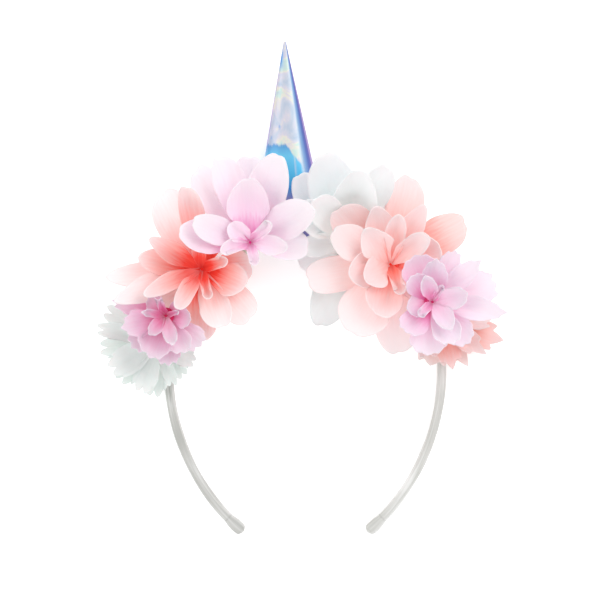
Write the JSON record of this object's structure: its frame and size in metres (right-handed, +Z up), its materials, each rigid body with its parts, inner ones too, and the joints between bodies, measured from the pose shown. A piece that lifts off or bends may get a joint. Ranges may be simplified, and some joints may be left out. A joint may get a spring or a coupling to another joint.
{
  "type": "unicorn horn headband",
  "caption": "Satin-covered hoop headband with a rolled film unicorn horn on its crown and cloth flowers down both sides.",
  "frame": {"origin": "on the hoop's flat back face, at the middle of the crown; the headband lies on its back there", "axes": "+X to the right as the flowers face the viewer, +Y from the hoop's tips through the crown to the horn's tip, +Z up, the way the flowers face"},
  "size_m": [0.2025, 0.2459, 0.0628],
  "materials": {
    "satin": "off-white satin ribbon wrapped tight",
    "film": "iridescent film, lavender to cyan",
    "calyx": "plain moulded plastic, hidden",
    "mint_left_cloth": "thin woven cloth",
    "coral_right_cloth": "thin woven cloth",
    "mint_right_cloth": "thin woven cloth",
    "coral_cloth": "thin woven cloth",
    "blush_cloth": "thin woven cloth",
    "pink_left_cloth": "thin woven cloth",
    "peach_cloth": "thin woven cloth",
    "pink_right_cloth": "thin woven cloth"
  },
  "bodies": {
    "root": {"band": "satin", "ribbon_tip_left": "satin", "ribbon_tip_right": "satin", "horn": "film", "mint_left_calyx": "calyx", "coral_right_calyx": "calyx", "mint_right_calyx": "calyx", "coral_calyx": "calyx", "blush_calyx": "calyx", "pink_left_calyx": "calyx", "peach_calyx": "calyx", "pink_right_calyx": "calyx", "mint_left_outer_petals": "mint_left_cloth", "mint_left_middle_petals": "mint_left_cloth", "coral_right_outer_petals": "coral_right_cloth", "coral_right_middle_petals": "coral_right_cloth", "mint_right_outer_petals": "mint_right_cloth", "mint_right_middle_petals": "mint_right_cloth", "mint_right_inner_petals": "mint_right_cloth", "coral_outer_petals": "coral_cloth", "coral_middle_petals": "coral_cloth", "coral_inner_petals": "coral_cloth", "blush_outer_petals": "blush_cloth", "blush_middle_petals": "blush_cloth", "blush_inner_petals": "blush_cloth", "pink_left_outer_petals": "pink_left_cloth", "pink_left_middle_petals": "pink_left_cloth", "pink_left_inner_petals": "pink_left_cloth", "peach_outer_petals": "peach_cloth", "peach_middle_petals": "peach_cloth", "peach_inner_petals": "peach_cloth", "pink_right_outer_petals": "pink_right_cloth", "pink_right_middle_petals": "pink_right_cloth", "pink_right_inner_petals": "pink_right_cloth"}
  },
  "joints": []
}
